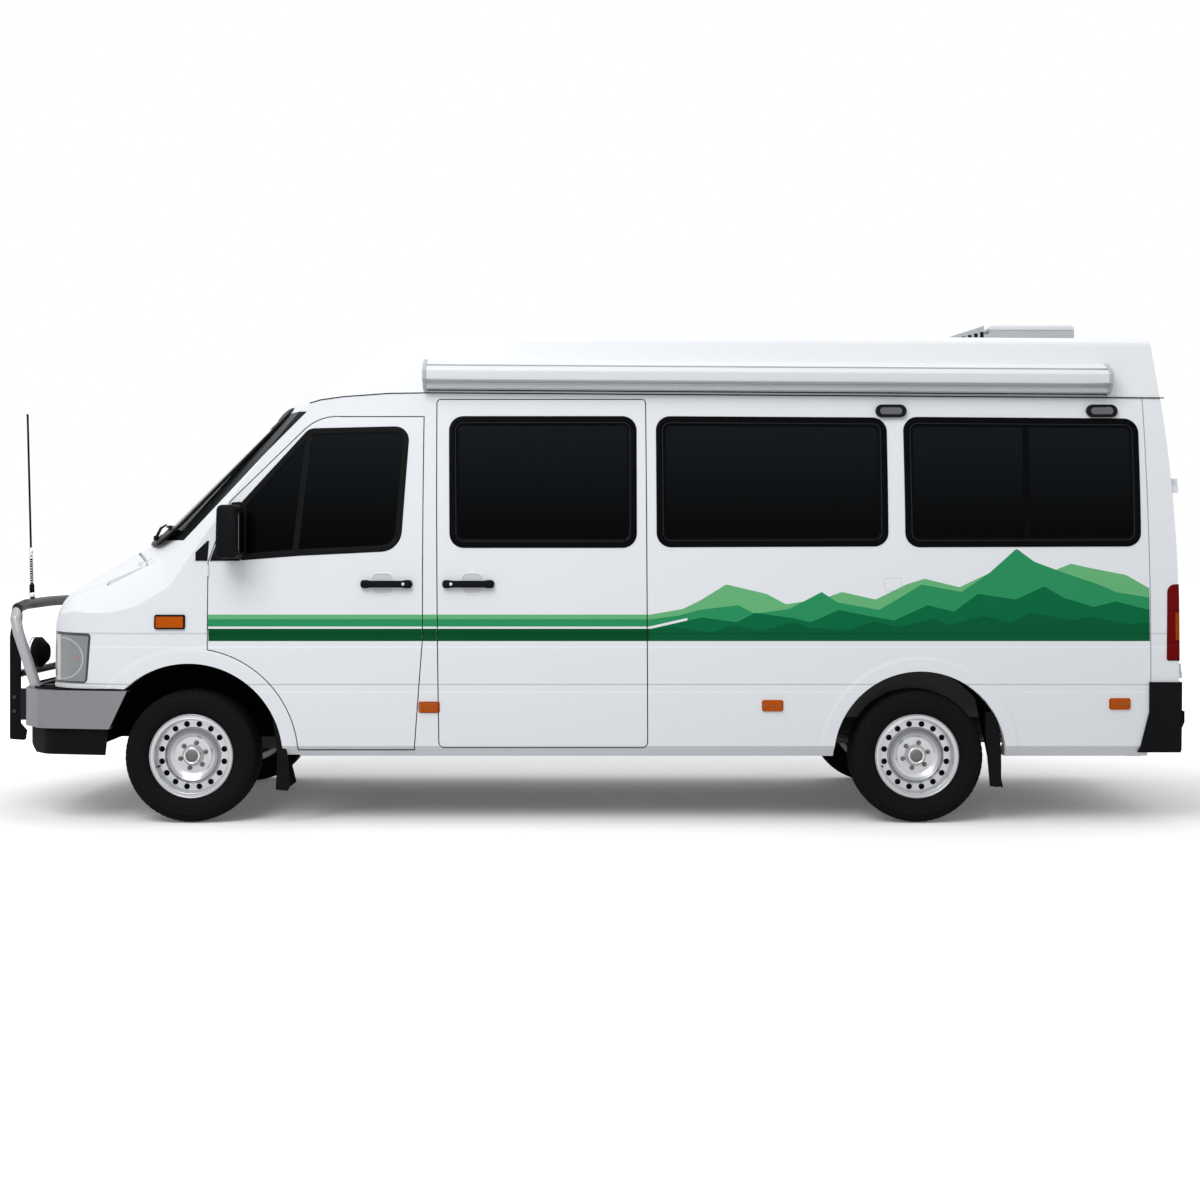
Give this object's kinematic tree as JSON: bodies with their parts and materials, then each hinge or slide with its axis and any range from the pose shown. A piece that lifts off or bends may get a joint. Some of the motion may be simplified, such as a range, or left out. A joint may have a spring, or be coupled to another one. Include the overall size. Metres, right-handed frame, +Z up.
{
  "type": "camper van",
  "caption": "High-roof long-wheelbase camper van with hinged cab and rear doors, sliding side door, awning, roof vent, bull bar and steered wheels.",
  "frame": {"origin": "on the ground below the middle of the whole vehicle's box", "axes": "+X towards the rear, -Y towards the left (kerb) side with the sliding door, +Z up"},
  "size_m": [6.614, 2.36, 2.8409],
  "materials": {
    "white_paint": "gloss",
    "roof_white": "gloss",
    "dark_glass": "gloss",
    "clear_glass": "gloss",
    "black_plastic": "matte",
    "alloy": "satin",
    "wheel_silver": "satin",
    "tyre": "matte",
    "chassis_black": "satin",
    "cast": "matte",
    "lamp_clear": "gloss",
    "lamp_red": "gloss",
    "lamp_amber": "gloss",
    "awning_white": "satin",
    "floor_grey": "satin",
    "seat_fabric": "woven",
    "dash_grey": "matte",
    "cabinet": "satin"
  },
  "bodies": {
    "body": {"antenna": "black_plastic", "awning": "awning_white", "bull_bar": "alloy", "cab_frame": "white_paint", "camper_units": "cabinet", "chassis_frame": "chassis_black", "dashboard": "dash_grey", "driving_lamps": "black_plastic", "exhaust": "cast", "floor": "floor_grey", "front_axle": "chassis_black", "front_bumper": "alloy", "front_valance": "black_plastic", "fuel_tank": "black_plastic", "grille": "black_plastic", "headlamps": "lamp_clear", "powertrain": "cast", "rear_axle": "chassis_black", "rear_bumper": "black_plastic", "rear_frame": "white_paint", "roof": "roof_white", "roof_vent": "roof_white", "seats": "seat_fabric", "side_glass": "dark_glass", "side_lamps": "lamp_amber", "side_wall_left": "white_paint", "side_wall_right": "white_paint", "slide_handle": "black_plastic", "sliding_door": "white_paint", "tail_lamps": "lamp_red", "wheel_liners": "black_plastic", "windscreen": "clear_glass", "wing_left": "white_paint", "wing_right": "white_paint"},
    "bonnet": {"bonnet": "white_paint"},
    "cab_door_left": {"cab_door_left": "white_paint", "cab_glass_left": "dark_glass", "cab_door_trim_left": "black_plastic"},
    "cab_door_right": {"cab_door_right": "white_paint", "cab_glass_right": "dark_glass", "cab_door_trim_right": "black_plastic"},
    "rear_door_left": {"rear_door_left": "white_paint", "rear_glass_left": "dark_glass"},
    "rear_door_right": {"rear_door_right": "white_paint", "rear_glass_right": "dark_glass"},
    "vent_lid": {"roof_vent_lid": "roof_white"},
    "knuckle_left": {"knuckle_left": "cast"},
    "knuckle_right": {"knuckle_right": "cast"},
    "wheel_front_left": {"rim_front_left": "wheel_silver", "tyre_front_left": "tyre"},
    "wheel_front_right": {"rim_front_right": "wheel_silver", "tyre_front_right": "tyre"},
    "wheel_rear_left": {"rim_rear_left": "wheel_silver", "tyre_rear_left": "tyre"},
    "wheel_rear_right": {"rim_rear_right": "wheel_silver", "tyre_rear_right": "tyre"}
  },
  "joints": [
    {"name": "bonnet_hinge", "type": "hinge", "parent": "body", "child": "bonnet", "pos_m": [-2.466, 0, 1.44], "axis": [0, 1, 0], "range_deg": [0, 50]},
    {"name": "cab_door_left_hinge", "type": "hinge", "parent": "body", "child": "cab_door_left", "pos_m": [-2.096, -0.967, 0.85], "axis": [0, -0.0343, -0.9994], "range_deg": [0, 70]},
    {"name": "cab_door_right_hinge", "type": "hinge", "parent": "body", "child": "cab_door_right", "pos_m": [-2.096, 0.967, 0.85], "axis": [0, -0.0343, 0.9994], "range_deg": [0, 70]},
    {"name": "rear_door_left_hinge", "type": "hinge", "parent": "body", "child": "rear_door_left", "pos_m": [3.296, -0.85384, 0.9], "axis": [0.02, 0, -0.9998], "range_deg": [0, 180]},
    {"name": "rear_door_right_hinge", "type": "hinge", "parent": "body", "child": "rear_door_right", "pos_m": [3.296, 0.85384, 0.9], "axis": [-0.02, 0, 0.9998], "range_deg": [0, 180]},
    {"name": "vent_lid_hinge", "type": "hinge", "parent": "body", "child": "vent_lid", "pos_m": [2.36, 0, 2.812], "axis": [0, -1, 0], "range_deg": [0, 50]},
    {"name": "steer_left", "type": "hinge", "parent": "body", "child": "knuckle_left", "pos_m": [-2.2, -0.716, 0.369], "axis": [0, 0, 1], "range_deg": [-35, 35]},
    {"name": "steer_right", "type": "hinge", "parent": "body", "child": "knuckle_right", "pos_m": [-2.2, 0.716, 0.369], "axis": [0, 0, 1], "range_deg": [-35, 35]},
    {"name": "wheel_front_left_spin", "type": "hinge", "parent": "knuckle_left", "child": "wheel_front_left", "pos_m": [-2.2, -0.815, 0.369], "axis": [0, 1, 0], "continuous": true},
    {"name": "wheel_front_right_spin", "type": "hinge", "parent": "knuckle_right", "child": "wheel_front_right", "pos_m": [-2.2, 0.815, 0.369], "axis": [0, 1, 0], "continuous": true},
    {"name": "wheel_rear_left_spin", "type": "hinge", "parent": "body", "child": "wheel_rear_left", "pos_m": [1.824, -0.815, 0.369], "axis": [0, 1, 0], "continuous": true},
    {"name": "wheel_rear_right_spin", "type": "hinge", "parent": "body", "child": "wheel_rear_right", "pos_m": [1.824, 0.815, 0.369], "axis": [0, 1, 0], "continuous": true}
  ],
  "couplings": [
    {"joint": "steer_right", "follows": "steer_left", "ratio": 1}
  ]
}
